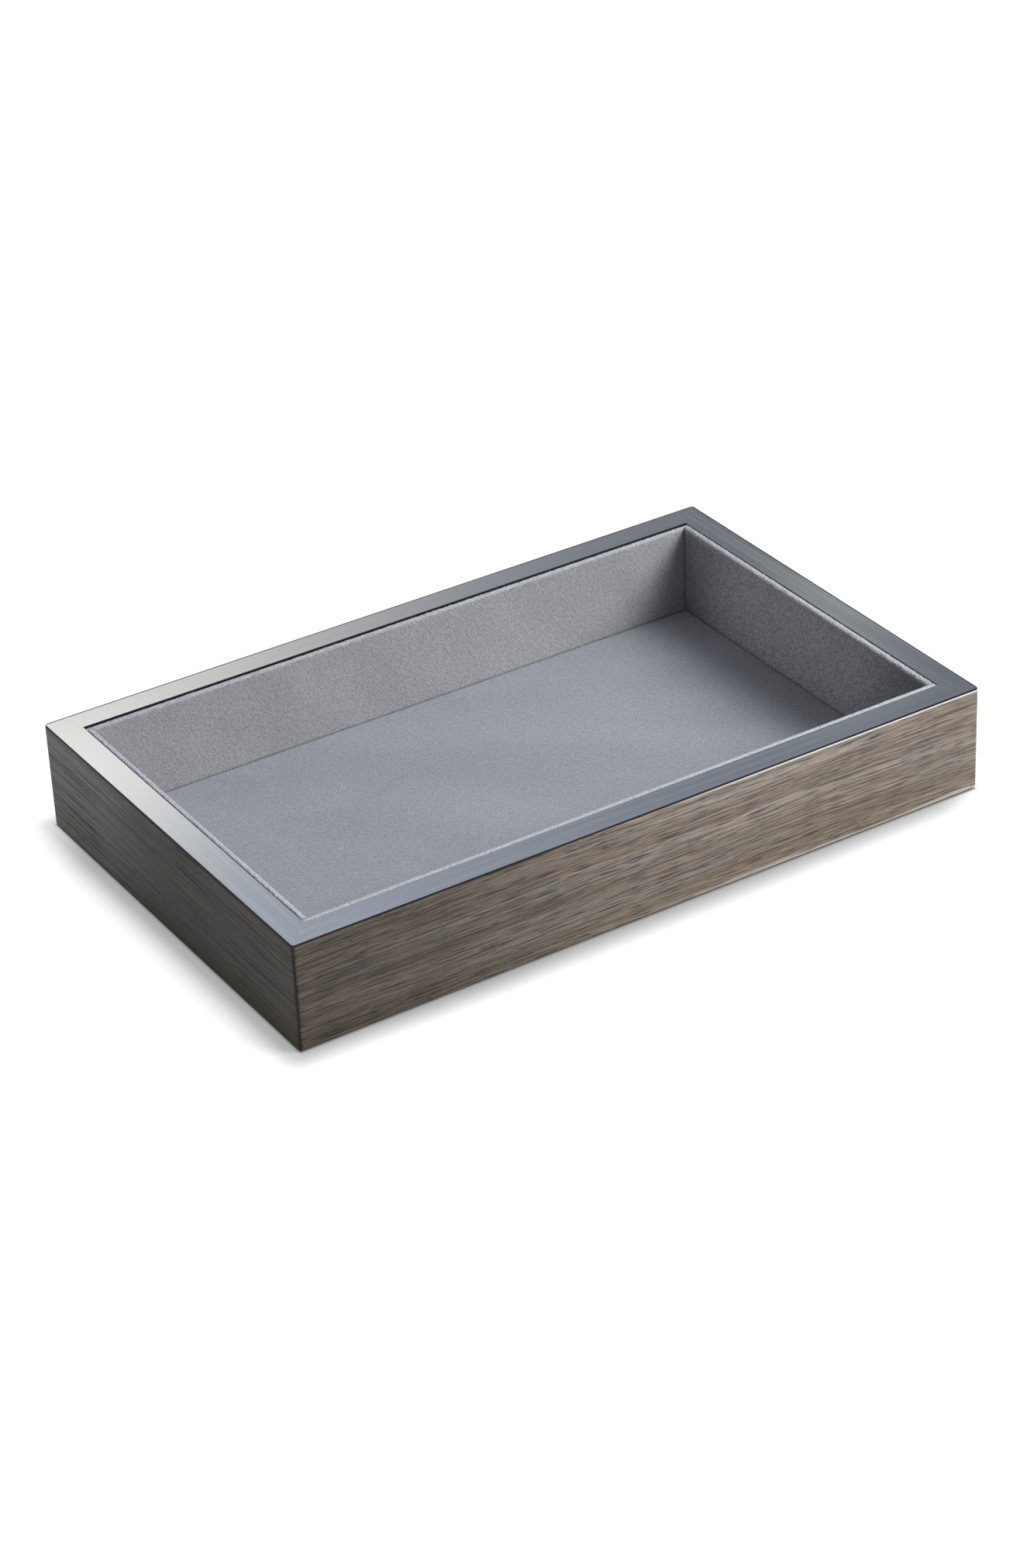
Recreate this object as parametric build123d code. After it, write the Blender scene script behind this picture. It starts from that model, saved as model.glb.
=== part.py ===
from build123d import *
import os

# A shallow open tray for pocket things: four mitred and veneered walls under a lacquered rim,
# round a well that is lined with suede over card. Sizes are in millimetres. X runs along the
# tray, Y from front to back and Z up, from the middle of the underside.

# Whole tray
tray_length = 240.0
tray_width = 151.0
tray_height = 35.7
corner_radius = 1.2

# Walls, their veneer and the rim on top of them
wall_thickness = 8.5
veneer_thickness = 0.5
veneer_top_easing = 0.3
veneer_bottom_easing = 0.3
rim_thickness = 0.5
rim_setback = 0.1
rim_outer_easing = 0.3
rim_inner_easing = 0.2

# Blind keys across the mitred corners
key_thickness = 2.5
key_width = 6.0
key_depth_below_rim = 4.0
key_height_above_base = 2.0
key_clearance = 0.1

# Base panel, set in a rebate of the walls, and the felt under both
base_thickness = 2.5
base_lap = 4.5
base_clearance = 0.1
felt_thickness = 0.6
felt_setback = 1.5

# Lining of the well: card boards with suede wrapped over their edges
suede_thickness = 0.5
side_card_thickness = 1.0
base_card_thickness = 0.9
lining_drop = 0.4
lining_glue_gap = 0.15
lining_clearance = 0.1
lining_roll_radius = 0.6
floor_edge_easing = 0.4
suede_turn_in = 8.0

# How far a cutting shape passes the face that it cuts, and how much of a thickness an easing may take
overrun = 1.0
easing_limit_share = 0.9

# Heights, from the surface that the tray stands on
wall_bottom = felt_thickness
wall_top = tray_height - rim_thickness
base_top = wall_bottom + base_thickness
lining_top = tray_height - lining_drop
floor_top = base_top + 2 * suede_thickness + base_card_thickness

# Plan sizes, from the outside in
side_thickness = veneer_thickness + wall_thickness
well_length = tray_length - 2 * side_thickness
well_width = tray_width - 2 * side_thickness
lining_thickness = side_card_thickness + 2 * suede_thickness
floor_length = well_length - 2 * (lining_glue_gap + lining_thickness + lining_clearance)
floor_width = well_width - 2 * (lining_glue_gap + lining_thickness + lining_clearance)

# The short linings stand between the long ones
long_lining = well_length - 2 * lining_glue_gap
short_lining = floor_width

# For each side, the tray's size along it and across it, and the length of its lining
long_side = (tray_length, tray_width, long_lining)
short_side = (tray_width, tray_length, short_lining)
side_sizes = {"front": long_side, "right": short_side, "back": long_side, "left": short_side}

# How far each side is turned from the front, in degrees
side_turns = {"front": 0, "right": 90, "back": 180, "left": 270}


def eased(size, thickness):
    """An easing's size, held under the thickness that carries it."""
    return min(size, easing_limit_share * thickness)


def slab(length, width, bottom, top, radius=0):
    """An upright block round the tray's axis, with its four corners rounded to the radius."""
    outline = RectangleRounded(length, width, radius) if radius > 0 else Rectangle(length, width)
    return Pos(0, 0, bottom) * extrude(outline, amount=top - bottom)


def block(length, depth, height, start_y, bottom):
    """A block that is centred along X and runs from start_y towards the tray's middle."""
    return Pos(0, start_y, bottom) * Box(length, depth, height, align=(Align.CENTER, Align.MIN, Align.MIN))


def top_face(shape):
    return shape.faces().sort_by(Axis.Z)[-1]


def bottom_face(shape):
    return shape.faces().sort_by(Axis.Z)[0]


def mitred_side(frame, side):
    """The part of a four-sided frame that lies between one side's two mitre planes."""
    along, across, _ = side_sizes[side]
    outer_x = along / 2 + overrun
    outer_y = across / 2 + overrun
    depth = side_thickness + 2 * overrun
    wedge = Polygon(
        (-outer_x, -outer_y),
        (outer_x, -outer_y),
        (outer_x - depth, depth - outer_y),
        (depth - outer_x, depth - outer_y),
    )
    return frame & (Rot(0, 0, side_turns[side]) * extrude(wedge, amount=tray_height))


def veneer_frame():
    """The veneer of all four sides, eased at its top and bottom outside edges."""
    ring = slab(tray_length, tray_width, wall_bottom, wall_top, corner_radius)
    ring = chamfer(top_face(ring).edges(), eased(veneer_top_easing, veneer_thickness))
    ring = chamfer(bottom_face(ring).edges(), eased(veneer_bottom_easing, veneer_thickness))
    return ring - core_slab(wall_bottom - overrun, wall_top + overrun)


def core_slab(bottom, top):
    """The outside of the boards, under the veneer."""
    length = tray_length - 2 * veneer_thickness
    width = tray_width - 2 * veneer_thickness
    return slab(length, width, bottom, top, max(corner_radius - veneer_thickness, 0))


def wall_frame():
    """All four boards round the well, with the rebate for the base panel and the slots for the keys."""
    ring = core_slab(wall_bottom, wall_top)
    ring -= slab(well_length, well_width, wall_bottom - overrun, wall_top + overrun)
    rebate_length = well_length + 2 * base_lap
    rebate_width = well_width + 2 * base_lap
    ring -= slab(rebate_length, rebate_width, wall_bottom - overrun, base_top)
    for corner in corners():
        ring -= corner_key(corner, key_clearance)
    return ring


def rim_frame():
    """The lacquered strip on all four walls, rounded at its outer and inner top edges."""
    length = tray_length - 2 * rim_setback
    width = tray_width - 2 * rim_setback
    ring = slab(length, width, wall_top, tray_height, max(corner_radius - rim_setback, 0))
    ring = fillet(top_face(ring).edges(), eased(rim_outer_easing, rim_thickness))
    ring -= slab(well_length, well_width, wall_top - overrun, tray_height + overrun)
    return fillet(top_face(ring).inner_wires()[0].edges(), eased(rim_inner_easing, rim_thickness))


def corners():
    """The name and the outward directions of each corner."""
    return [(f"{depth}_{width}", x, y) for depth, y in (("front", -1), ("back", 1))
            for width, x in (("left", -1), ("right", 1))]


def corner_key(corner, gap=0):
    """The key in one mitre, or its slot where a gap is given. It crosses the mitre plane squarely."""
    _, x, y = corner
    inset = veneer_thickness + wall_thickness / 2
    bottom = base_top + key_height_above_base
    top = wall_top - key_depth_below_rim
    key = Box(key_width + 2 * gap, key_thickness + 2 * gap, top - bottom + 2 * gap)
    place = Pos(x * (tray_length / 2 - inset), y * (tray_width / 2 - inset), (bottom + top) / 2)
    return place * Rot(0, 0, -45 * x * y) * key


def side_lining(side):
    """The board and the suede cover of one side's lining. The suede goes over the top and down behind."""
    _, across, length = side_sizes[side]
    back_face = side_thickness + lining_glue_gap - across / 2
    height = lining_top - base_top
    cover = block(length, lining_thickness, height, back_face, base_top)
    roll_edges = top_face(cover).edges().filter_by(Axis.X)
    cover = fillet(roll_edges, eased(lining_roll_radius, lining_thickness / 2))
    cut_length = length + 2 * overrun
    cut_bottom = base_top - overrun
    card_face = back_face + suede_thickness
    card_height = height - suede_thickness
    cover -= block(cut_length, side_card_thickness, card_height + overrun, card_face, cut_bottom)
    hem_gap = height - suede_turn_in + overrun
    cover -= block(cut_length, suede_thickness + overrun, hem_gap, back_face - overrun, cut_bottom)
    card = block(length, side_card_thickness, card_height, card_face, base_top)
    turn = Rot(0, 0, side_turns[side])
    return turn * card, turn * cover


def floor_lining():
    """The board and the suede cover of the well's floor. The suede is turned under the board's edges."""
    card_length = floor_length - 2 * suede_thickness
    card_width = floor_width - 2 * suede_thickness
    card_bottom = base_top + suede_thickness
    card = slab(card_length, card_width, card_bottom, card_bottom + base_card_thickness)
    cover = slab(floor_length, floor_width, base_top, floor_top)
    cover = fillet(top_face(cover).edges(), eased(floor_edge_easing, suede_thickness))
    hem_length = card_length - 2 * suede_turn_in
    hem_width = card_width - 2 * suede_turn_in
    cover -= card + slab(hem_length, hem_width, base_top - overrun, card_bottom)
    return card, cover


def base_panel():
    length = well_length + 2 * (base_lap - base_clearance)
    width = well_width + 2 * (base_lap - base_clearance)
    return slab(length, width, wall_bottom, base_top)


def underside_felt():
    length = tray_length - 2 * felt_setback
    width = tray_width - 2 * felt_setback
    return slab(length, width, 0, felt_thickness)


def build_pieces():
    """Every piece of the tray, by name."""
    pieces = {}
    frames = {"wall": wall_frame(), "veneer": veneer_frame(), "rim": rim_frame()}
    for side in side_turns:
        for layer, frame in frames.items():
            pieces[f"{side}_{layer}"] = mitred_side(frame, side)
        card, cover = side_lining(side)
        pieces[f"{side}_lining_board"] = card
        pieces[f"{side}_lining_suede"] = cover
    for corner in corners():
        pieces[f"{corner[0]}_key"] = corner_key(corner)
    pieces["floor_lining_board"], pieces["floor_lining_suede"] = floor_lining()
    pieces["base_panel"] = base_panel()
    pieces["underside_felt"] = underside_felt()
    return pieces


os.makedirs("parts", exist_ok=True)
for name, piece in build_pieces().items():
    export_step(piece, f"parts/{name}.step")
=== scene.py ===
import math

import bpy
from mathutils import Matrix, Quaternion, Vector


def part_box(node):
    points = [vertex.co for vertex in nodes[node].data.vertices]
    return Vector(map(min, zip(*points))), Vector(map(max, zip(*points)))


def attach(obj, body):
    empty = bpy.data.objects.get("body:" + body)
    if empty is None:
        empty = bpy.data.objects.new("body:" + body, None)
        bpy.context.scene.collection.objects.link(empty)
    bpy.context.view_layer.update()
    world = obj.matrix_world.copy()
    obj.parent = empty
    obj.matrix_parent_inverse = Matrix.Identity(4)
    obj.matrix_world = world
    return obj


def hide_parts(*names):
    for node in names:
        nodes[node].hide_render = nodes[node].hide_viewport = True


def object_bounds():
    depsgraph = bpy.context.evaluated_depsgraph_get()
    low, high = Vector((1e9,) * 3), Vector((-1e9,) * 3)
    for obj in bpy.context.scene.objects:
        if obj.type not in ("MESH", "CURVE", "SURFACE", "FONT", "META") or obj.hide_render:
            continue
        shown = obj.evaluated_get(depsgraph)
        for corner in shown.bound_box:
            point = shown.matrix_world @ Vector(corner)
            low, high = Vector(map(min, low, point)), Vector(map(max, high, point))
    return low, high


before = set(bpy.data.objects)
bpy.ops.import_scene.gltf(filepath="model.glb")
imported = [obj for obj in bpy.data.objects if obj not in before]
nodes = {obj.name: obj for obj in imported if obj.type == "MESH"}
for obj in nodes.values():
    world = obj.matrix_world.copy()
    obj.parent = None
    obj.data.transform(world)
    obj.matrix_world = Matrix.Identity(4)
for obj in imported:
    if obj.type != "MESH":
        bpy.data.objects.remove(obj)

# A shallow open tray for pocket things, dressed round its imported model: stained veneer walls under
# a black lacquered rim, round a well that is lined with grey microsuede. Lengths are in metres.
# X runs along the tray, Y from front to back and Z up, from the middle of the underside.
cad_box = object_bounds()
MM = 0.001
QUARTER_TURN = math.pi / 2

# The outer faces of the tray
LEFT_FACE = cad_box[0][0]
RIGHT_FACE = cad_box[1][0]
BACK_FACE = cad_box[1][1]

# Half the well's length and width, the height of its floor, and the top of its lining
WELL_HALF_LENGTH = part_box("right_lining_suede")[0].x
WELL_HALF_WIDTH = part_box("back_lining_suede")[0].y
WELL_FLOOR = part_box("floor_lining_suede")[1].z
LINING_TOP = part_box("front_lining_suede")[1].z

SIDES = ("front", "right", "back", "left")
LONG_SIDES = ("front", "back")
CORNERS = ("front_left", "front_right", "back_left", "back_right")

# Each side's way out of the well, and how far a sheet that faces the front is turned to face the well
OUTWARD = {"front": Vector((0, -1, 0)), "right": Vector((1, 0, 0)),
           "back": Vector((0, 1, 0)), "left": Vector((-1, 0, 0))}
SHEET_TURNS = {"front": math.pi, "right": -QUARTER_TURN, "back": 0, "left": QUARTER_TURN}

# The suede over the card boards, and the felt under the tray
SUEDE_THICKNESS = 0.5 * MM
SUEDE_CLEARANCE = 0.04 * MM
SUEDE_TURN_IN = 8.0 * MM
FOLD_RADIUS = 0.75 * MM
FLOOR_EDGE_RADIUS = 0.4 * MM
FELT_CORNER_RADIUS = 1.5 * MM

# How finely the sheets are divided, and how near a point lies to an edge to count as on it
SIDE_STEP = (0.5 * MM, 0.8 * MM)
FLOOR_STEP = 1.0 * MM
FELT_STEP = 3.0 * MM
FOLD_SEGMENTS = 5
SMOOTH_ANGLE = math.radians(60)
NEAR = 0.01 * MM

# How far a sheet's face stands up, and how wide the grains of that are
SIDE_NAP = (0.10 * MM, 1.1 * MM)
FLOOR_WAVES = (0.12 * MM, 14.0 * MM)
FLOOR_NAP = (0.06 * MM, 1.5 * MM)


# Modelling by hand

def clear_selection():
    """Leaves nothing selected and nothing active, out of edit mode."""
    if bpy.context.object and bpy.context.object.mode != "OBJECT":
        bpy.ops.object.mode_set(mode="OBJECT")
    bpy.ops.object.select_all(action="DESELECT")


def start_grid(name, middle, size, steps, turn=(0, 0, 0)):
    """A new flat grid of that size and number of steps, left in edit mode with nothing selected."""
    clear_selection()
    bpy.ops.mesh.primitive_grid_add(x_subdivisions=steps[0], y_subdivisions=steps[1], size=1,
                                    location=middle, rotation=turn)
    grid = bpy.context.object
    grid.name = grid.data.name = name
    grid.scale = (size[0], size[1], 1)
    bpy.ops.object.transform_apply(location=True, rotation=True, scale=True)
    bpy.ops.object.mode_set(mode="EDIT")
    bpy.ops.mesh.select_all(action="DESELECT")
    bpy.ops.mesh.select_mode(type="VERT")
    return grid


def start_plane(name, middle, size, turn=(0, 0, 0)):
    """A new plain plane of that size, left in object mode."""
    clear_selection()
    bpy.ops.mesh.primitive_plane_add(size=1.0, location=middle, rotation=turn)
    plane = bpy.context.object
    plane.name = name
    plane.scale = (size[0], size[1], 1)
    bpy.ops.object.transform_apply(location=True, rotation=True, scale=True)
    return plane


def select_points(piece, wanted):
    """Selects the points whose place passes the test, and the edges and faces between them."""
    bpy.ops.object.mode_set(mode="OBJECT")
    for point in piece.data.vertices:
        point.select = bool(wanted(point.co))
    bpy.ops.object.mode_set(mode="EDIT")
    bpy.ops.mesh.select_mode(type="VERT")


def select_edges(piece, *lines):
    """Selects the edges that lie on a line. Each line is a test that a point on it passes."""
    bpy.ops.mesh.select_mode(type="EDGE")
    bpy.ops.mesh.select_all(action="DESELECT")
    bpy.ops.object.mode_set(mode="OBJECT")
    spots = [point.co for point in piece.data.vertices]
    for edge in piece.data.edges:
        edge.select = any(all(line(spots[i]) for i in edge.vertices) for line in lines)
    bpy.ops.object.mode_set(mode="EDIT")


def draw_out(step):
    """Extrudes what is selected by that step. The new points stay selected."""
    bpy.ops.mesh.extrude_region_move(TRANSFORM_OT_translate={"value": step})


def draw_edges_out(step):
    """Extrudes the selected edges by that step. The new edges stay selected."""
    bpy.ops.mesh.extrude_edges_move(TRANSFORM_OT_translate={"value": step})


def thicken(piece, thickness):
    """Gives the sheet its thickness, behind its face. The points of its back go in a group."""
    piece.vertex_groups.new(name="sheet_back")
    change = piece.modifiers.new("thickness", "SOLIDIFY")
    change.thickness = thickness
    change.offset = -1
    change.use_even_offset = True
    change.shell_vertex_group = "sheet_back"
    bpy.ops.object.modifier_apply(modifier=change.name)


def ruffle(piece, rise, tufts, sunk=0.5, wanted=None):
    """Raises the face of a thickened sheet by a noise with tufts of that width, all over or only where
    the test passes. Sunk is the share of the noise that lies under the face."""
    back = piece.vertex_groups["sheet_back"].index
    face = piece.vertex_groups.new(name="ruffled")
    for point in piece.data.vertices:
        on_back = any(group.group == back for group in point.groups)
        if not on_back and (wanted is None or wanted(point.co)):
            face.add([point.index], 1.0, "REPLACE")
    texture = bpy.data.textures.new(f"{piece.name}_nap", "CLOUDS")
    texture.noise_scale = tufts
    texture.noise_depth = 2
    change = piece.modifiers.new("nap", "DISPLACE")
    change.texture = texture
    change.texture_coords = "LOCAL"
    change.strength = rise
    change.mid_level = sunk
    change.vertex_group = "ruffled"
    bpy.ops.object.modifier_apply(modifier=change.name)
    piece.vertex_groups.remove(piece.vertex_groups["ruffled"])


def close_modelling():
    """Turns every face outward and leaves edit mode."""
    bpy.ops.mesh.select_all(action="SELECT")
    bpy.ops.mesh.normals_make_consistent(inside=False)
    bpy.ops.object.mode_set(mode="OBJECT")


def dress(piece, finish):
    """Smooths a modelled sheet, up to its sharp edges, and gives it its finish."""
    bpy.ops.object.shade_smooth_by_angle(angle=SMOOTH_ANGLE)
    piece.data.materials.append(finish)


# Node trees

def feed(tree, node, inputs):
    """Sets a node's inputs, or links them where the value comes from another node."""
    for key, value in inputs.items():
        socket = node.inputs[key]
        if isinstance(value, bpy.types.NodeSocket):
            tree.links.new(value, socket)
        elif socket.type == "RGBA":
            socket.default_value = (*value[:3], 1.0)
        else:
            socket.default_value = value


def add(tree, kind, inputs=None, **settings):
    """Adds one node, gives its settings and feeds its inputs."""
    node = tree.nodes.new(kind)
    for key, value in settings.items():
        setattr(node, key, value)
    feed(tree, node, inputs or {})
    return node


def start_finish(name):
    """A new finish, its node tree and shader, and the piece's own coordinates."""
    finish = bpy.data.materials.new(name)
    finish.use_nodes = True
    tree = finish.node_tree
    here = add(tree, "ShaderNodeTexCoord").outputs["Object"]
    return finish, tree, tree.nodes["Principled BSDF"], here


def split(tree, here):
    """The three numbers of the coordinates, to be picked by X, Y or Z or by 0, 1 or 2."""
    return add(tree, "ShaderNodeSeparateXYZ", {"Vector": here}).outputs


def turned(tree, here, turn):
    """The coordinates turned round the origin."""
    return add(tree, "ShaderNodeMapping", {"Vector": here, "Rotation": turn}).outputs[0]


def along_side(tree, here, side):
    """The coordinates with X along that side."""
    return here if side in LONG_SIDES else turned(tree, here, (0, 0, QUARTER_TURN))


def axes_of(side):
    """The number of the axis along that side, and of the one across it."""
    return (0, 1) if side in LONG_SIDES else (1, 0)


def noise(tree, here, size, detail=2.0, seed=0.0):
    """Noise from 0 to 1 whose grains have that size along X, Y and Z. Along a size of 0 it is even."""
    scale = [1 / length if length else 0 for length in size]
    placed = add(tree, "ShaderNodeMapping",
                 {"Vector": here, "Scale": scale, "Location": (seed, seed, seed)}).outputs[0]
    return add(tree, "ShaderNodeTexNoise",
               {"Vector": placed, "Scale": 1.0, "Detail": detail}).outputs["Fac"]


def ramp(tree, value, start, end, low=0.0, high=1.0):
    """Low where the value is under start, high where it is over end, and smooth between them."""
    return add(tree, "ShaderNodeMapRange",
               {"Value": value, "From Min": start, "From Max": end, "To Min": low, "To Max": high},
               interpolation_type="SMOOTHSTEP").outputs["Result"]


def fall(tree, value, start, end):
    """1 where the value is under start, 0 where it is over end, and smooth between them."""
    return ramp(tree, value, start, end, 1.0, 0.0)


def sums(tree, first, second, way="ADD"):
    """Two numbers put together in that way, which is to add them if no other is given."""
    return add(tree, "ShaderNodeMath", {0: first, 1: second}, operation=way).outputs[0]


def less(tree, first, second):
    """The first number less the second."""
    return sums(tree, first, second, "SUBTRACT")


def times(tree, first, second):
    """The first number times the second."""
    return sums(tree, first, second, "MULTIPLY")


def beyond(tree, value, limit):
    """How far a coordinate lies outside that limit, on either side of the middle."""
    return less(tree, sums(tree, value, 0.0, "ABSOLUTE"), limit)


def hump(tree, value, start, peak, end):
    """1 where the value is at the peak, and 0 before the start and after the end."""
    return times(tree, ramp(tree, value, start, peak), fall(tree, value, peak, end))


def blended(tree, amount, first, second, way="MIX"):
    """The first colour turned towards the second by the amount."""
    return add(tree, "ShaderNodeMix", {0: amount, 6: first, 7: second},
               data_type="RGBA", blend_type=way).outputs[2]


def dyed(tree, colour, dye, amount=1.0):
    """The colour multiplied by the dye, by that amount."""
    return blended(tree, amount, colour, dye, "MULTIPLY")


def raised(tree, height, strength, depth):
    """The surface's normal with that height pressed into it."""
    return add(tree, "ShaderNodeBump",
               {"Height": height, "Strength": strength, "Distance": depth}).outputs["Normal"]


def put_on(finish, *names):
    """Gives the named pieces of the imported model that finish."""
    for name in names:
        for slot in nodes[name].material_slots:
            slot.link = "OBJECT"
            slot.material = finish


# Stained veneer, and the lacquer that runs over its top edge

LACQUER_DARK = (0.010, 0.011, 0.013)
LACQUER_WORN = (0.020, 0.021, 0.024)
VENEER_PALE = (0.415, 0.345, 0.275)
VENEER_MAIN = (0.300, 0.250, 0.203)
VENEER_DARK = (0.060, 0.050, 0.044)
VENEER_SLATE = (0.096, 0.108, 0.107)
VENEER_WARM = (0.235, 0.160, 0.100)
VENEER_ARRIS = (0.860, 0.820, 0.760)
VENEER_JOINT = (0.030, 0.022, 0.020)
VENEER_FOOT = (0.95, 0.91, 0.81)

# How long and how high the veneer's marks are
BAND = (120.0 * MM, 2.6 * MM)
WARM_STREAK = (90.0 * MM, 6.0 * MM)
GREY_STAIN = (40.0 * MM, 3.6 * MM)
VEIN = (45.0 * MM, 1.2 * MM)
DARK_LINE = (20.0 * MM, 0.45 * MM)
PORE = (7.0 * MM, 0.36 * MM)
FIBRE = (5.0 * MM, 0.30 * MM)
FLECK = (7.0 * MM, 0.42 * MM)
FLECK_PATCH = (22.0 * MM, 7.5 * MM)
FLECK_SLANT = math.radians(8)

# Dark lines that run side by side: how far apart, how far they are shifted up and down and by waves of
# what size, and the size of the stretches in which they break off
LINE_SPACING = 1.35 * MM
LINE_SHIFT = 3.2 * MM
LINE_SHIFT_WAVE = (40.0 * MM, 3.5 * MM)
LINE_BREAK = (13.0 * MM, 0.9 * MM)

# The grain sways over a hand's width and over a finger's: the waves' sizes, and how far they lift it
SWAY = (60.0 * MM, 14.0 * MM)
SWAY_LIFT = 5.0 * MM
RIPPLE = (12.0 * MM, 4.0 * MM)
RIPPLE_LIFT = 0.9 * MM

# How far under a wall's top the lacquer and the pale top edge start and are full
LACQUER_RUN = (0.18 * MM, 0.08 * MM)
PALE_TOP_EDGE = (0.60 * MM, 0.42 * MM)

# How far over a wall's foot the browner stain and the pale bottom edge start and are full
BROWN_FOOT = (8.5 * MM, 3.0 * MM)
FOOT_SAG = 12.0 * MM
PALE_FOOT_EDGE = (1.5 * MM, 0.8 * MM)
PALE_FOOT_RIPPLE = 2.0 * MM

# How far from a wall's end the dark line of its joint starts and is full, and where that line breaks
JOINT_LINE = (0.32 * MM, 0.18 * MM)
JOINT_BREAK = (4.0 * MM, 4.0 * MM, 1.6 * MM)

# For each wall: how lively its grain is, how many times as long as usual its marks are, and its place in
# the log. Along the wall its colour changes from the first colour to the last, between two places that are
# given in half lengths from its middle. On the front and left walls that change is partly the stain and
# partly painted light: painted shade over the front wall's left end, and a painted pale bluish sheen over
# the left wall's back half
VENEERS = {
    "front": dict(figure=1.0, stretch=1.5, seed=2.0, start=-0.95, end=0.3,
                  first=(0.460, 0.466, 0.477), last=(1.095, 1.128, 1.187)),
    "right": dict(figure=0.8, stretch=2.0, seed=31.0, start=-0.5, end=0.8,
                  first=(1.050, 1.050, 1.050), last=(0.900, 0.900, 0.900)),
    "back": dict(figure=1.0, stretch=1.5, seed=57.0, start=-0.6, end=0.6,
                 first=(0.850, 0.850, 0.850), last=(0.950, 0.950, 0.950)),
    "left": dict(figure=1.1, stretch=5.0, seed=83.0, start=-0.05, end=0.75,
                 first=(0.410, 0.422, 0.430), last=(1.500, 1.740, 2.040)),
}


def drawn_noise(tree, board, size, stretch, detail, seed):
    """Noise that is drawn out along X. Its grains have that length, times the stretch, and height."""
    length, height = size
    return noise(tree, board, (length * stretch, 0, height), detail, seed)


def swaying_grain(tree, board, figure, stretch, seed):
    """The board's coordinates as its grain sways, and the two waves that it sways by."""
    sway = less(tree, drawn_noise(tree, board, SWAY, stretch, 1.0, seed), 0.5)
    ripple = less(tree, drawn_noise(tree, board, RIPPLE, stretch, 1.0, seed + 3), 0.5)
    lift = sums(tree, times(tree, sway, SWAY_LIFT * figure), times(tree, ripple, RIPPLE_LIFT * figure))
    step = add(tree, "ShaderNodeCombineXYZ", {"Z": lift}).outputs[0]
    return add(tree, "ShaderNodeVectorMath", {0: board, 1: step}).outputs[0], sway, ripple


def parallel_lines(tree, grain, stretch, seed):
    """Dark lines side by side, at an uneven spacing and broken here and there."""
    shift = drawn_noise(tree, grain, LINE_SHIFT_WAVE, stretch, 1.0, seed + 37)
    level = sums(tree, split(tree, grain)["Z"], times(tree, shift, LINE_SHIFT))
    wave = sums(tree, times(tree, level, 2 * math.pi / LINE_SPACING), 0.0, "SINE")
    broken = drawn_noise(tree, grain, LINE_BREAK, stretch, 2.0, seed + 41)
    return times(tree, ramp(tree, wave, 0.35, 0.95), ramp(tree, broken, 0.44, 0.58))


def slanting_flecks(tree, board, seed):
    """Flecks that slant across the grain, in a few places only."""
    slant = turned(tree, board, (0, FLECK_SLANT, 0))
    flecks = ramp(tree, drawn_noise(tree, slant, FLECK, 1.0, 1.0, seed + 23), 0.55, 0.62)
    patches = ramp(tree, drawn_noise(tree, board, FLECK_PATCH, 1.0, 1.0, seed + 29), 0.50, 0.60)
    return times(tree, flecks, patches)


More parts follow.
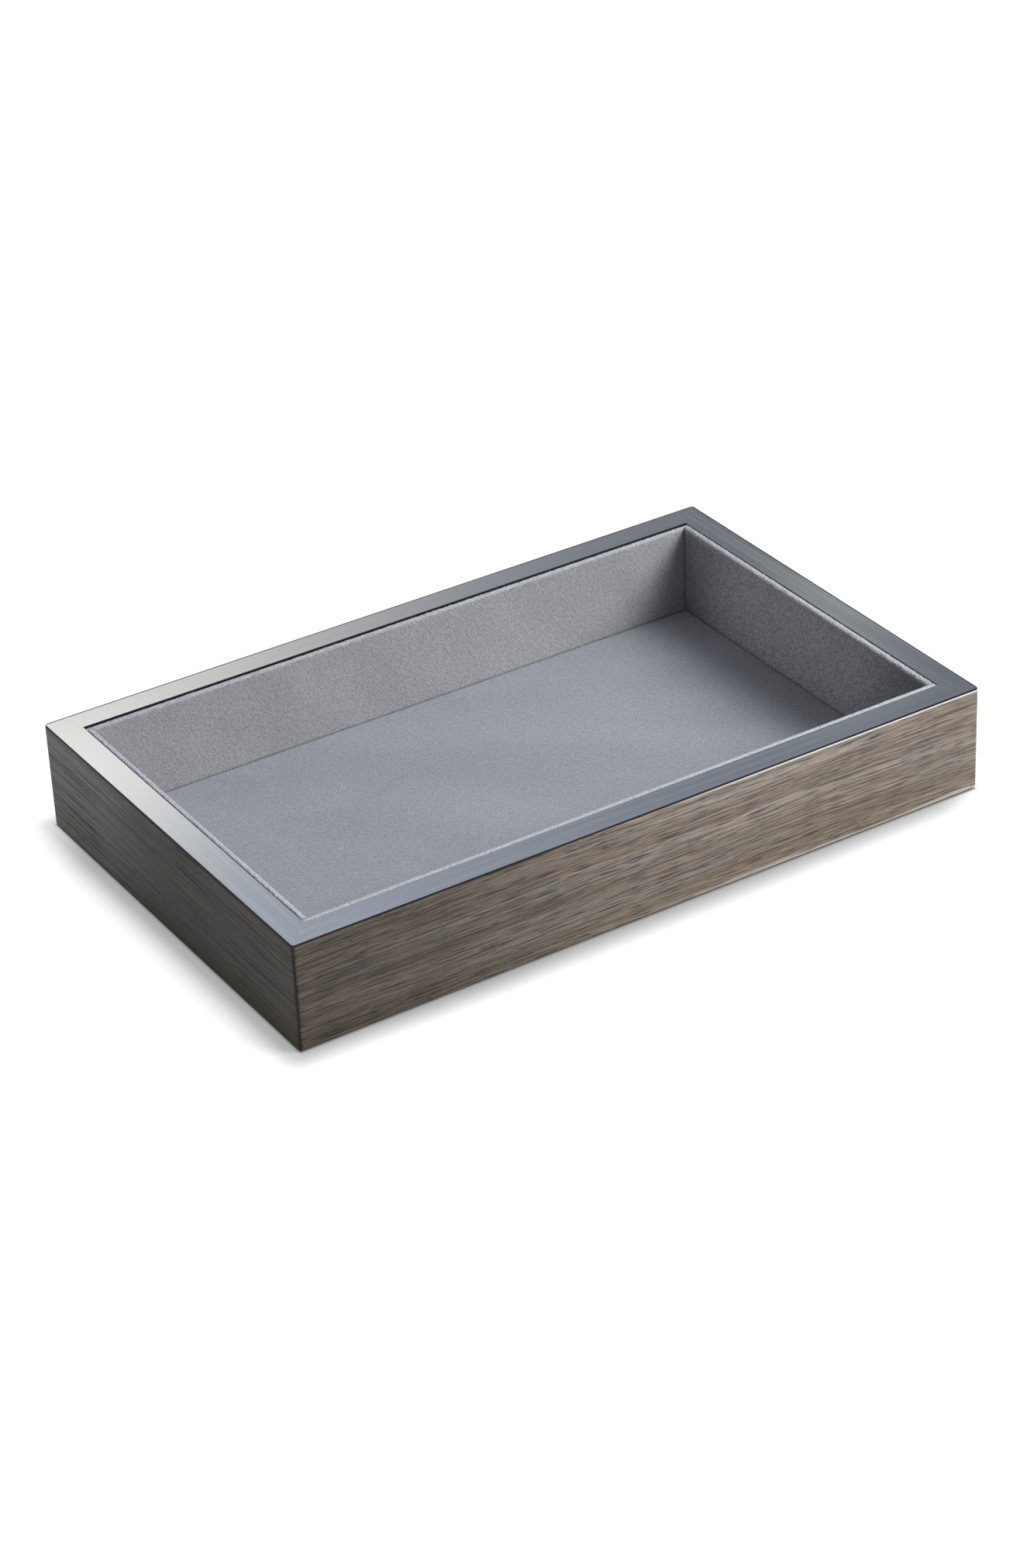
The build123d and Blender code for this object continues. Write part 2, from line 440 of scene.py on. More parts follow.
def veneer_finish(side, figure, stretch, seed, start, end, first, last):
    """One wall's veneer, its grain along the wall."""
    finish, tree, shader, here = start_finish(f"{side}_veneer")
    board = along_side(tree, here, side)
    grain, sway, ripple = swaying_grain(tree, board, figure, stretch, seed)

    def streaks(size, detail, under, over, number):
        """Streaks along the grain: 0 between them and 1 on them."""
        return ramp(tree, drawn_noise(tree, grain, size, stretch, detail, seed + number), under, over)

    bands = streaks(BAND, 3.0, 0.38, 0.62, 5)
    fibres = drawn_noise(tree, grain, FIBRE, stretch, 2.0, seed + 7)
    lines = streaks(DARK_LINE, 2.0, 0.54, 0.61, 11)
    veins = streaks(VEIN, 2.0, 0.56, 0.63, 12)
    pores = streaks(PORE, 1.0, 0.56, 0.62, 13)
    stain = streaks(GREY_STAIN, 2.0, 0.50, 0.64, 17)
    warmth = streaks(WARM_STREAK, 2.0, 0.46, 0.64, 19)

    # The wood's bands, then its marks with how strongly each shows, then its fibres
    colour = blended(tree, bands, VENEER_MAIN, VENEER_PALE)
    colour = blended(tree, times(tree, warmth, 0.42), colour, VENEER_WARM)
    dark = blended(tree, stain, VENEER_DARK, VENEER_SLATE)
    marks = ((veins, 0.20, dark), (lines, 0.52, dark),
             (parallel_lines(tree, grain, stretch, seed), 0.72, dark),
             (pores, 0.62, VENEER_DARK), (slanting_flecks(tree, board, seed), 0.75, VENEER_SLATE))
    for mark, strength, mark_colour in marks:
        colour = blended(tree, times(tree, mark, strength * figure), colour, mark_colour)
    colour = dyed(tree, colour, ramp(tree, fibres, 0.30, 0.70, 0.30, 1.0), 0.36)

    # Along the wall the colour goes from the first to the last, partly as the stain and partly as painted
    # light, and it is darker and browner towards its foot
    low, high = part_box(f"{side}_veneer")
    axis, _ = axes_of(side)
    place = split(tree, here)
    along, height = place[axis], place["Z"]
    middle = (low[axis] + high[axis]) / 2
    reach = (high[axis] - low[axis]) / 2
    share = ramp(tree, along, middle + start * reach, middle + end * reach)
    colour = dyed(tree, colour, blended(tree, share, first, last))
    colour = dyed(tree, colour, ramp(tree, height, low.z, high.z, 0.92, 1.10))
    sagging = sums(tree, height, times(tree, sway, FOOT_SAG))
    foot = ramp(tree, sagging, low.z + BROWN_FOOT[0], low.z + BROWN_FOOT[1])
    colour = dyed(tree, colour, VENEER_FOOT, times(tree, foot, 0.85 * figure))

    # The rim's lacquer runs over the top edge. Towards the front wall's right end the top edge and the
    # bottom edge are pale instead
    most = 1.0 if side == "front" else 0.0
    pale_right_end = ramp(tree, along, middle - 0.15 * reach, middle + 0.45 * reach, 0.0, most)
    pale = times(tree, ramp(tree, height, high.z - PALE_TOP_EDGE[0], high.z - PALE_TOP_EDGE[1]), pale_right_end)
    colour = blended(tree, times(tree, pale, 0.85), colour, VENEER_ARRIS)
    run = ramp(tree, height, high.z - LACQUER_RUN[0], high.z - LACQUER_RUN[1])
    run = times(tree, run, less(tree, 1.0, times(tree, pale_right_end, 0.9)))
    colour = blended(tree, times(tree, run, 0.85), colour, LACQUER_DARK)
    rippled = sums(tree, height, times(tree, ripple, PALE_FOOT_RIPPLE))
    pale_foot = ramp(tree, rippled, low.z + PALE_FOOT_EDGE[0], low.z + PALE_FOOT_EDGE[1])
    colour = blended(tree, times(tree, times(tree, pale_foot, pale_right_end), 0.42), colour, VENEER_ARRIS)

    # The joint at each end is a dark line
    joint = ramp(tree, beyond(tree, along, high[axis]), -JOINT_LINE[0], -JOINT_LINE[1])
    broken = ramp(tree, noise(tree, here, JOINT_BREAK, 2.0, seed + 31), 0.30, 0.55, 0.65, 1.0)
    colour = blended(tree, times(tree, joint, broken), colour, VENEER_JOINT)

    relief = less(tree, times(tree, fibres, 0.5), sums(tree, pores, lines))
    feed(tree, shader, {
        "Base Color": colour,
        "Roughness": ramp(tree, pores, 0.0, 1.0, 0.55, 0.72),
        "Normal": raised(tree, relief, 0.25, 0.12 * MM),
        "Specular IOR Level": 0.2,
    })
    return finish


# Black lacquer of the rim

LACQUER_CLOUD = (90.0 * MM, 1.2 * MM, 6.0 * MM)
LACQUER_SKIN = (2.2 * MM, 2.2 * MM, 2.2 * MM)
DULL_EDGE_FADE = 0.25 * MM

# For each side: how wide its dull outer edge is, how far its gloss was rubbed down in the clouds, and its
# place in the lacquer's noise
RIMS = {
    "front": dict(dull_edge=0.30 * MM, rubbed=0.07, seed=5),
    "right": dict(dull_edge=0.85 * MM, rubbed=0.07, seed=5),
    "back": dict(dull_edge=0.85 * MM, rubbed=0.03, seed=4),
    "left": dict(dull_edge=0.30 * MM, rubbed=0.03, seed=4),
}


def lacquer_finish(side, dull_edge, rubbed, seed):
    """The rim's satin lacquer, smooth with faint long clouds, and duller along its outer edge."""
    finish, tree, shader, here = start_finish(f"{side}_lacquer")
    low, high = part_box(f"{side}_rim")
    _, across = axes_of(side)
    outer = max(abs(low[across]), abs(high[across]))
    clouds = noise(tree, along_side(tree, here, side), LACQUER_CLOUD, 3.0, seed + 2)
    skin = noise(tree, here, LACQUER_SKIN, 1.0, seed)
    inside = beyond(tree, split(tree, here)[across], outer)
    edge = ramp(tree, inside, -dull_edge, DULL_EDGE_FADE - dull_edge)
    gloss = ramp(tree, clouds, 0.3, 0.7, 0.5 - rubbed, 0.5 + rubbed)
    haze = ramp(tree, clouds, 0.3, 0.7, 0.170, 0.190)
    feed(tree, shader, {
        "Base Color": blended(tree, ramp(tree, clouds, 0.35, 0.7), LACQUER_DARK, LACQUER_WORN),
        "Roughness": sums(tree, haze, times(tree, edge, 0.35)),
        "Specular IOR Level": less(tree, gloss, times(tree, edge, 0.36)),
        "Normal": raised(tree, skin, 0.006, 0.10 * MM),
    })
    return finish


# Microsuede of the lining

SUEDE_MAIN = (0.385, 0.385, 0.408)
SUEDE_BRUSHED = (0.530, 0.532, 0.565)
SUEDE_SHADED = (0.250, 0.248, 0.268)
SUEDE_TIPS_AND_SHEEN = (0.700, 0.715, 0.765)
SUEDE_GRAIN = (0.50 * MM, 0.50 * MM, 0.50 * MM)
SUEDE_TUFT = (1.8 * MM, 0.7 * MM, 0.7 * MM)
SUEDE_PATCH = (50.0 * MM, 24.0 * MM, 20.0 * MM)
PAINTED_CREASE_SHADE_WIDTH = 0.8 * MM
PAINTED_SHADE_REACH = 38.0 * MM

# The pale tips on a fold, partly the nap's own pale tips and partly a painted sheen: how ragged their
# lower edge is, how far under the top they are full, how uneven their edge is on the way out over the
# fold, and how far it takes them there to grow full
TIPS_RAGGED = 1.0 * MM
TIPS_FULL = 0.25 * MM
TIPS_UNEVEN = 0.8 * MM
TIPS_FADE = 1.0 * MM

# How the nap lies on both short sides
SHORT_SIDE_LIE = (math.radians(40), 0, QUARTER_TURN)

# For each side's suede: how its nap lies, its tint, which on the right side is painted light that lightens
# that shaded lining, how far its tufts differ in colour, how deep they are and how much painted shade
# darkens it towards the tray's front and back. The fold gives how far down and how far out its pale tips
# and painted sheen reach, and how pale they are. The fluff gives how far the nap stands up on the fold,
# the share of that which is sunk, how wide its tufts are, how far down it goes and how far it stops short
# of the fold's back
SUEDES = {
    "front": dict(
        cloth=dict(lie=(0, math.radians(-50), 0), tint_and_painted_light=(1.0, 1.0, 1.0), mottle=0.38,
                   relief=0.8 * MM, fold=dict(down=1.1 * MM, out=0.1 * MM, paleness=0.85)),
        fluff=dict(rise=0.34 * MM, sunk=0.1, tufts=0.7 * MM, drop=0.9 * MM, short=0.3 * MM)),
    "right": dict(
        cloth=dict(lie=SHORT_SIDE_LIE, tint_and_painted_light=(1.88, 1.87, 1.84), mottle=0.80,
                   relief=2.2 * MM, painted_shade_at_ends=0.5,
                   fold=dict(down=2.4 * MM, out=-0.4 * MM, paleness=0.90)),
        fluff=dict(rise=0.22 * MM, sunk=-1.0, tufts=1.2 * MM, drop=0.6 * MM, short=-0.1 * MM)),
    "back": dict(
        cloth=dict(lie=(0, math.radians(-60), 0), tint_and_painted_light=(1.0, 0.995, 0.975), mottle=0.38,
                   relief=0.45 * MM, fold=dict(down=0.9 * MM, out=0.1 * MM, paleness=0.65)),
        fluff=dict(rise=0.30 * MM, sunk=0.55, tufts=0.8 * MM, drop=0.8 * MM, short=-0.1 * MM)),
    "left": dict(
        cloth=dict(lie=SHORT_SIDE_LIE, tint_and_painted_light=(1.0, 1.0, 1.0), mottle=0.38,
                   relief=0.8 * MM, fold=dict(down=1.2 * MM, out=0.1 * MM, paleness=1.0)),
        fluff=dict(rise=0.34 * MM, sunk=0.1, tufts=0.7 * MM, drop=0.9 * MM, short=0.3 * MM)),
}
FLOOR_CLOTH = dict(lie=(0, 0, math.radians(35)), tint_and_painted_light=(0.98, 1.02, 1.08), mottle=0.50,
                   relief=0.30 * MM)


def suede_finish(name, seed, lie, tint_and_painted_light, mottle, relief, painted_shade_at_ends=0.0, fold=None):
    """Grey microsuede: a fine short nap in small tufts, brushed lighter and darker over larger patches."""
    finish, tree, shader, here = start_finish(name)
    place = split(tree, here)
    nap_way = turned(tree, here, lie)
    grains = noise(tree, here, SUEDE_GRAIN, 2.0, seed)
    tufts = noise(tree, nap_way, SUEDE_TUFT, 2.0, seed + 3)
    patches = noise(tree, nap_way, SUEDE_PATCH, 2.0, seed + 5)
    nap = sums(tree, times(tree, grains, 0.70), times(tree, tufts, 0.30))
    colour = blended(tree, ramp(tree, nap, 0.38, 0.62), SUEDE_SHADED, SUEDE_BRUSHED)
    colour = blended(tree, mottle, SUEDE_MAIN, colour)
    colour = dyed(tree, colour, ramp(tree, patches, 0.32, 0.68, 0.70, 1.0), 0.30)
    # The tint. On the right side it is painted light, which lightens that lining where it lies in shade
    colour = dyed(tree, colour, tint_and_painted_light)

    # Painted shade where two linings meet: the suede is darker within a little of the seam
    beside = less(tree, WELL_HALF_LENGTH, sums(tree, place["X"], 0.0, "ABSOLUTE"))
    before = less(tree, WELL_HALF_WIDTH, sums(tree, place["Y"], 0.0, "ABSOLUTE"))
    above = less(tree, place["Z"], WELL_FLOOR)
    nearer = sums(tree, beside, before, "MINIMUM")
    farther = sums(tree, sums(tree, beside, before, "MAXIMUM"), above, "MINIMUM")
    meeting = sums(tree, nearer, farther, "MAXIMUM")
    colour = dyed(tree, colour, ramp(tree, meeting, 0.0, PAINTED_CREASE_SHADE_WIDTH, 0.70, 1.0))
    # Painted shade: the lining darkens towards the tray's front and back ends
    if painted_shade_at_ends:
        colour = dyed(tree, colour, ramp(tree, before, 0.0, PAINTED_SHADE_REACH, 1.0 - painted_shade_at_ends, 1.0))

    # On the fold the nap is painted pale: partly the nap's own pale tips, partly a painted sheen where
    # light grazes the fold
    if fold:
        ragged = sums(tree, place["Z"], times(tree, less(tree, tufts, 0.5), TIPS_RAGGED))
        high_up = ramp(tree, ragged, LINING_TOP - fold["down"], LINING_TOP - TIPS_FULL)
        outward = less(tree, times(tree, tufts, TIPS_UNEVEN), nearer)
        over = ramp(tree, outward, fold["out"], fold["out"] + TIPS_FADE)
        pale_tips_and_sheen = times(tree, times(tree, over, high_up), ramp(tree, nap, 0.35, 0.60, 0.45, 1.0))
        colour = blended(tree, times(tree, pale_tips_and_sheen, fold["paleness"]), colour, SUEDE_TIPS_AND_SHEEN)

    feed(tree, shader, {
        "Base Color": colour,
        "Normal": raised(tree, nap, 0.8, relief),
        "Roughness": 0.95,
        "Specular IOR Level": 0.15,
        "Sheen Weight": 0.35,
        "Sheen Roughness": 0.45,
    })
    return finish


# Felt, boards and keys, which show from below or when a piece is taken out

FELT_DARK = (0.010, 0.010, 0.011)
FELT_PALE = (0.038, 0.038, 0.041)
FELT_FIBRE = (3.0 * MM, 0.6 * MM, 0.6 * MM)
FELT_CROSSING = math.radians(60)
BOARD_FLAKE = (1.6 * MM, 1.6 * MM, 0.7 * MM)
BOARD_DUST = (0.3 * MM, 0.3 * MM, 0.3 * MM)
WALL_DARK = (0.150, 0.095, 0.055)
WALL_PALE = (0.270, 0.185, 0.115)
BASE_DARK = (0.105, 0.066, 0.040)
BASE_PALE = (0.190, 0.125, 0.080)
GREY_CARD_DARK = (0.215, 0.205, 0.190)
GREY_CARD_PALE = (0.330, 0.318, 0.300)
GREY_CARD_PULP = (1.1 * MM, 1.1 * MM, 0.4 * MM)
KEY_DARK = (0.330, 0.205, 0.105)
KEY_PALE = (0.520, 0.360, 0.210)
KEY_FIBRE = (0.7 * MM, 0.7 * MM, 12.0 * MM)

# The walls are stained black above this height, with a ragged edge and a short fade
STAINED_ABOVE = 28.0 * MM
STAIN_RAGGED = 1.5 * MM
STAIN_FADE = 0.6 * MM


def felt_finish():
    """Pressed felt, its fibres crossing."""
    finish, tree, shader, here = start_finish("underside_felt")
    fibres = noise(tree, here, FELT_FIBRE, 4.0)
    crossing = noise(tree, turned(tree, here, (0, 0, FELT_CROSSING)), FELT_FIBRE, 4.0, 4.0)
    mat = sums(tree, fibres, crossing)
    feed(tree, shader, {
        "Base Color": blended(tree, ramp(tree, mat, 0.75, 1.25), FELT_DARK, FELT_PALE),
        "Normal": raised(tree, mat, 0.6, 0.3 * MM),
        "Roughness": 0.97,
        "Sheen Weight": 0.25,
    })
    return finish


def fibreboard_finish(name, dark, pale, stained_above=None):
    """Pressed fibreboard. Above that height, if one is given, it is stained black."""
    finish, tree, shader, here = start_finish(name)
    flakes = noise(tree, here, BOARD_FLAKE, 4.0)
    dust = noise(tree, here, BOARD_DUST, 2.0, 6.0)
    colour = blended(tree, ramp(tree, flakes, 0.35, 0.65), dark, pale)
    colour = dyed(tree, colour, ramp(tree, dust, 0.3, 0.7, 0.5, 1.0), 0.3)
    if stained_above is not None:
        ragged = sums(tree, split(tree, here)["Z"], times(tree, flakes, STAIN_RAGGED))
        stained = ramp(tree, ragged, stained_above, stained_above + STAIN_FADE)
        colour = blended(tree, stained, colour, LACQUER_DARK)
    feed(tree, shader, {
        "Base Color": colour,
        "Normal": raised(tree, flakes, 0.3, 0.15 * MM),
        "Roughness": 0.8,
    })
    return finish


def fibrous_finish(name, fibre, detail, dark, pale, roughness):
    """A plain stuff with fibres of that size: grey card, or the keys' plywood."""
    finish, tree, shader, here = start_finish(name)
    fibres = noise(tree, here, fibre, detail)
    feed(tree, shader, {
        "Base Color": blended(tree, ramp(tree, fibres, 0.35, 0.65), dark, pale),
        "Normal": raised(tree, fibres, 0.3, 0.1 * MM),
        "Roughness": roughness,
    })
    return finish


# Suede covers and the felt

def cover_side(side, finish, rise, sunk, tufts, drop, short):
    """One side's suede: up the well's face of its card board, over the top edge and down behind it."""
    low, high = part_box(f"{side}_lining_suede")
    along, across = axes_of(side)
    length = high[along] - low[along]
    depth = high[across] - low[across]
    height = high.z - low.z
    outward = OUTWARD[side]
    well_face = (low + high) / 2 - outward * (depth / 2)

    def past_face(point):
        """How far behind the well's face the point lies."""
        return (point - well_face).dot(outward)

    steps = (round(length / SIDE_STEP[0]), round(height / SIDE_STEP[1]))
    turn = (QUARTER_TURN, 0, SHEET_TURNS[side])
    cover = start_grid(f"{side}_suede_cover", well_face, (length, height), steps, turn)
    select_points(cover, lambda p: p.z > high.z - NEAR)
    draw_out(outward * depth)
    draw_out((0, 0, -SUEDE_TURN_IN))
    select_edges(cover,
                 lambda p: p.z > high.z - NEAR and past_face(p) < NEAR,
                 lambda p: p.z > high.z - NEAR and past_face(p) > depth - NEAR)
    bpy.ops.mesh.bevel(offset=FOLD_RADIUS, segments=FOLD_SEGMENTS, affect="EDGES")
    close_modelling()
    thicken(cover, SUEDE_THICKNESS - SUEDE_CLEARANCE)
    ruffle(cover, *SIDE_NAP)
    ruffle(cover, rise, tufts, sunk, lambda p: p.z > high.z - drop and past_face(p) < depth - short)
    dress(cover, finish)
    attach(cover, "root")
    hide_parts(f"{side}_lining_suede")


def cover_floor(finish):
    """The well floor's suede, turned down over its card board's edges and in under them."""
    low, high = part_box("floor_lining_suede")
    length, width = high.x - low.x, high.y - low.y
    drop = high.z - low.z
    middle = Vector(((low.x + high.x) / 2, (low.y + high.y) / 2, high.z))
    steps = (round(length / FLOOR_STEP), round(width / FLOOR_STEP))
    cover = start_grid("floor_suede_cover", middle, (length, width), steps)
    ends = [lambda p: p.x < low.x + NEAR, lambda p: p.x > high.x - NEAR,
            lambda p: p.y < low.y + NEAR, lambda p: p.y > high.y - NEAR]
    select_edges(cover, *ends)
    draw_edges_out((0, 0, -drop))
    draw_edges_out((0, 0, 0))
    hem = (1 - 2 * SUEDE_TURN_IN / length, 1 - 2 * SUEDE_TURN_IN / width, 1)
    bpy.ops.transform.resize(value=hem, center_override=middle)
    select_edges(cover, *[lambda p, end=end: p.z > high.z - NEAR and end(p) for end in ends])
    bpy.ops.mesh.bevel(offset=FLOOR_EDGE_RADIUS, segments=FOLD_SEGMENTS, affect="EDGES")
    close_modelling()
    thicken(cover, SUEDE_THICKNESS - SUEDE_CLEARANCE)
    ruffle(cover, *FLOOR_WAVES)
    ruffle(cover, *FLOOR_NAP)
    dress(cover, finish)
    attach(cover, "root")
    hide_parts("floor_lining_suede")


def lay_felt(finish):
    """The felt that covers the base panel and that the tray stands on."""
    low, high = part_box("underside_felt")
    length, width = high.x - low.x, high.y - low.y
    middle = Vector(((low.x + high.x) / 2, (low.y + high.y) / 2, high.z))
    steps = (round(length / FELT_STEP), round(width / FELT_STEP))
    felt = start_grid("underside_felt_pad", middle, (length, width), steps)
    select_points(felt, lambda p: abs(p.x - middle.x) > length / 2 - NEAR
                  and abs(p.y - middle.y) > width / 2 - NEAR)
    bpy.ops.mesh.bevel(offset=FELT_CORNER_RADIUS, segments=FOLD_SEGMENTS, affect="VERTICES")
    close_modelling()
    thicken(felt, high.z - low.z)
    dress(felt, finish)
    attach(felt, "root")
    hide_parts("underside_felt")


# Floor

FLOOR_SIZE = 12.0
FLOOR_DROP = 0.05 * MM
FLOOR_UNSEEN = (0.40, 0.40, 0.41)
FLOOR_SEEN = (0.35, 0.35, 0.355)
FLOOR_GLOW = (0.992, 0.995, 1.0)

# How far out from the tray the floor's glow starts to rise and is full, and how strong it is there. Near
# the tray the glow is low, which paints a shadow round it
PAINTED_SHADOW_RAMP = (-4.0 * MM, 13.0 * MM)
PAINTED_SHADOW_GLOW = (0.10, 0.95)

# Where the painted shadow comes nearer to the tray or stays farther off: the axis, where that starts and
# ends, and how far it goes
PAINTED_SHADOW_SHIFTS = (
    ("X", LEFT_FACE - 4.0 * MM, LEFT_FACE + 65.0 * MM, -1.7 * MM),
    ("X", 30.0 * MM, RIGHT_FACE, 0.9 * MM),
    ("X", RIGHT_FACE - 19.0 * MM, RIGHT_FACE + 10.0 * MM, 9.0 * MM),
    ("Y", BACK_FACE - 30.0 * MM, BACK_FACE + 30.0 * MM, 8.0 * MM),
)

# Painted light: right beside the tray's left face the floor is a little paler again
LEFT_PAINTED_LIGHT = 0.12
LEFT_PAINTED_LIGHT_FADE = (0.2 * MM, 3.2 * MM)
LEFT_PAINTED_LIGHT_ENDS = (2.0 * MM, -2.0 * MM)

# Painted shade under the tray's edge: across it the floor goes from dark, under the tray, to its own
# colour
PAINTED_SHADE_UNDER_EDGE = (-0.6 * MM, 0.4 * MM)


def lay_floor():
    """A pale floor that is white to the eye, keeps the tray's shadow and throws little light back up.
    Near the tray its glow falls off into a painted shadow.
    """
    floor = start_plane("studio_floor", (0, 0, -FLOOR_DROP), (FLOOR_SIZE, FLOOR_SIZE))
    finish, tree, shader, here = start_finish("studio_floor")
    ray = add(tree, "ShaderNodeLightPath").outputs
    mirrored = sums(tree, ray["Is Glossy Ray"], ray["Is Transmission Ray"])
    looked_at = sums(tree, sums(tree, ray["Is Camera Ray"], mirrored), 1.0, "MINIMUM")

    # How far out from the tray's outline each place lies, and less than 0 under the tray
    place = split(tree, here)
    beside = beyond(tree, place["X"], RIGHT_FACE)
    before = beyond(tree, place["Y"], BACK_FACE)
    squares = [sums(tree, sums(tree, way, 0.0, "MAXIMUM"), 2.0, "POWER") for way in (beside, before)]
    outside = sums(tree, sums(tree, *squares), 0.5, "POWER")
    inside = sums(tree, sums(tree, beside, before, "MAXIMUM"), 0.0, "MINIMUM")
    off = sums(tree, outside, inside)

    # Away from the tray the floor is as white as the room; nearer to it the glow falls off into a painted
    # shadow
    shifted = off
    for axis, start, end, shift in PAINTED_SHADOW_SHIFTS:
        shifted = sums(tree, shifted, ramp(tree, place[axis], start, end, 0.0, shift))
    glow_and_painted_shadow = ramp(tree, shifted, *PAINTED_SHADOW_RAMP, *PAINTED_SHADOW_GLOW)
    at_left = ramp(tree, place["X"], *[LEFT_FACE + end for end in LEFT_PAINTED_LIGHT_ENDS], 0.0, LEFT_PAINTED_LIGHT)
    glow_and_painted_shadow = sums(tree, glow_and_painted_shadow, times(tree, fall(tree, off, *LEFT_PAINTED_LIGHT_FADE), at_left))
    glow_and_painted_shadow = times(tree, glow_and_painted_shadow, ramp(tree, off, *PAINTED_SHADE_UNDER_EDGE))
    feed(tree, shader, {
        "Base Color": blended(tree, looked_at, FLOOR_UNSEEN, FLOOR_SEEN),
        "Roughness": 1.0,
        "Specular IOR Level": 0.0,
        "Emission Color": FLOOR_GLOW,
        "Emission Strength": times(tree, looked_at, glow_and_painted_shadow),
    })
    floor.data.materials.append(finish)


# Room, card, lamp and camera

ROOM_LEFT = (0.14, 0.142, 0.148)
ROOM_RIGHT = (0.42, 0.425, 0.44)
ROOM_MIRRORED = (0.80, 0.90, 1.0)
ROOM_SEEN = (1.0, 1.0, 1.0)

# The card's size and place, its plain light, and the light that each of its soft patches adds
CARD_SIZE = (1.60, 1.20)
CARD_MIDDLE = (0.60, 0.80, 0.65)
CARD_PLAIN = (0.524, 0.557, 0.537)
CARD_SLOPE = (2.532, 2.850, 3.453)
CARD_STRIP = (16.1, 15.6, 13.7)
CARD_WARM = (1.965, 1.434, 0.754)
CARD_HIGH = (1.000, 1.194, 1.519)
CARD_WINDOW = (12.3, 12.6, 12.6)
CARD_STRENGTH = 1.04

LAMP_PLACE = (0.57, -0.57, 0.60)
LAMP_AIM = (0.0, 0.0, 0.02)
LAMP_SIZE = (0.50, 0.50)
LAMP_BRIGHTNESS = 12.6

CAMERA_PLACE = (-0.5319, -0.8721, 0.6256)
CAMERA_AIM = (-0.0093, -0.0136, 0.0180)
CAMERA_ROLL = math.radians(-2.66)
CAMERA_LENS = 89.4
CAMERA_SENSOR = 36.0
CAMERA_NEAREST = 10.0 * MM


def light_room():
    """Soft light all round, weaker from the left, with a white room where it is looked at."""
    world = bpy.data.worlds.new("studio")
    bpy.context.scene.world = world
    world.use_nodes = True
    tree = world.node_tree
    ray = add(tree, "ShaderNodeLightPath").outputs
    mirrored = sums(tree, ray["Is Glossy Ray"], ray["Is Transmission Ray"])
    way = split(tree, add(tree, "ShaderNodeTexCoord").outputs["Generated"])
    colour = blended(tree, ramp(tree, way["X"], -1.0, 1.0), ROOM_LEFT, ROOM_RIGHT)
    colour = blended(tree, mirrored, colour, ROOM_MIRRORED)
    colour = blended(tree, ray["Is Camera Ray"], colour, ROOM_SEEN)
    feed(tree, tree.nodes["Background"], {"Color": colour})


def stand_card():
    """A tall card behind the tray, bright at its left and lower down. It shows in the lacquer only."""
    card = start_plane("studio_card", CARD_MIDDLE, CARD_SIZE, (QUARTER_TURN, 0, 0))
    finish, tree, shader, here = start_finish("studio_card")
    place = split(tree, here)
    x, z = place["X"], place["Z"]

    # An even slope from left to right, a broad strip low at the left with a warm glow under it, more
    # light high up, and a narrow window at the right
    patches = (
        (CARD_SLOPE, fall(tree, x, 0.151, 0.896)),
        (CARD_STRIP, times(tree, hump(tree, z, 0.466, 0.541, 0.616), fall(tree, x, 0.100, 0.438))),
        (CARD_WARM, times(tree, fall(tree, x, 0.350, 0.531), fall(tree, z, 0.476, 0.529))),
        (CARD_HIGH, ramp(tree, z, 0.617, 0.647)),
        (CARD_WINDOW, times(tree, hump(tree, x, 0.678, 0.738, 0.798), fall(tree, z, 0.329, 0.665))),
    )
    colour = CARD_PLAIN
    for light, share in patches:
        colour = blended(tree, share, colour, light, "ADD")

    # Near the table it is dim, so that the rim stays dark when it is looked at from low down
    colour = dyed(tree, colour, ramp(tree, z, 0.22, 0.38, 0.14, 1.0))
    feed(tree, shader, {
        "Base Color": (0.0, 0.0, 0.0),
        "Emission Color": colour,
        "Emission Strength": CARD_STRENGTH,
    })
    card.data.materials.append(finish)
    card.visible_camera = False
    card.visible_diffuse = False
    card.visible_shadow = False


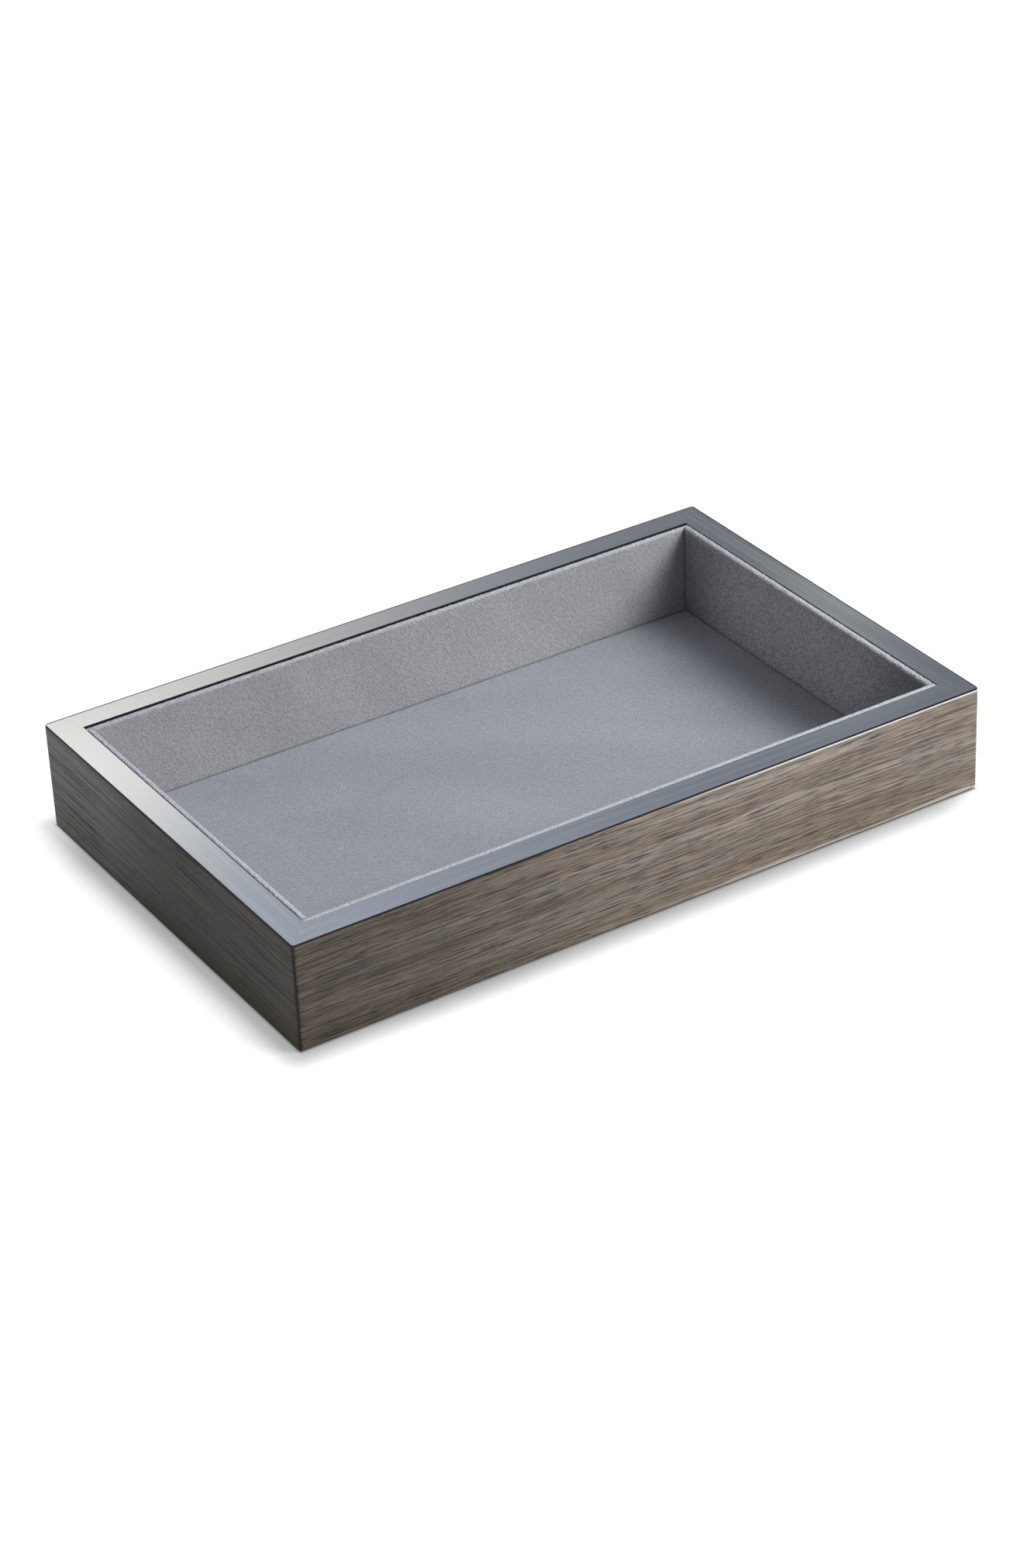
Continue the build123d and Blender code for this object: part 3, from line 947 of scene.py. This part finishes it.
def hang_lamp():
    """A flat soft lamp in front of the tray's right end. It doesn't show in the lacquer."""
    clear_selection()
    place, aim = Vector(LAMP_PLACE), Vector(LAMP_AIM)
    turn = (aim - place).to_track_quat("-Z", "Y").to_euler()
    bpy.ops.object.light_add(type="AREA", location=place, rotation=turn)
    lamp = bpy.context.object
    lamp.name = "key_lamp"
    lamp.data.shape = "RECTANGLE"
    lamp.data.size, lamp.data.size_y = LAMP_SIZE
    lamp.data.energy = LAMP_BRIGHTNESS * math.pi * LAMP_SIZE[0] * LAMP_SIZE[1]
    lamp.visible_glossy = False


def stand_camera():
    """A long lens in front of the tray's left corner, looking down at it."""
    clear_selection()
    place, aim = Vector(CAMERA_PLACE), Vector(CAMERA_AIM)
    roll = Quaternion((0, 0, 1), CAMERA_ROLL)
    turn = ((aim - place).to_track_quat("-Z", "Y") @ roll).to_euler()
    bpy.ops.object.camera_add(location=place, rotation=turn)
    camera = bpy.context.object
    camera.data.lens = CAMERA_LENS
    camera.data.sensor_width = CAMERA_SENSOR
    camera.data.clip_start = CAMERA_NEAREST
    bpy.context.scene.camera = camera


# The tray

for side in SIDES:
    put_on(veneer_finish(side, **VENEERS[side]), f"{side}_veneer")
    put_on(lacquer_finish(side, **RIMS[side]), f"{side}_rim")

wall_board = fibreboard_finish("wall_board", WALL_DARK, WALL_PALE, STAINED_ABOVE)
base_board = fibreboard_finish("base_board", BASE_DARK, BASE_PALE)
grey_card = fibrous_finish("grey_card", GREY_CARD_PULP, 4.0, GREY_CARD_DARK, GREY_CARD_PALE, 0.9)
key_wood = fibrous_finish("key_wood", KEY_FIBRE, 3.0, KEY_DARK, KEY_PALE, 0.65)
put_on(wall_board, *[f"{side}_wall" for side in SIDES])
put_on(base_board, "base_panel")
put_on(grey_card, "floor_lining_board", *[f"{side}_lining_board" for side in SIDES])
put_on(key_wood, *[f"{corner}_key" for corner in CORNERS])

for number, side in enumerate(SIDES):
    suede = suede_finish(f"{side}_suede", 9.0 * number, **SUEDES[side]["cloth"])
    cover_side(side, suede, **SUEDES[side]["fluff"])
cover_floor(suede_finish("floor_suede", 47.0, **FLOOR_CLOTH))
lay_felt(felt_finish())

# The studio
lay_floor()
light_room()
stand_card()
hang_lamp()
stand_camera()
bpy.context.scene.view_settings.view_transform = "Standard"
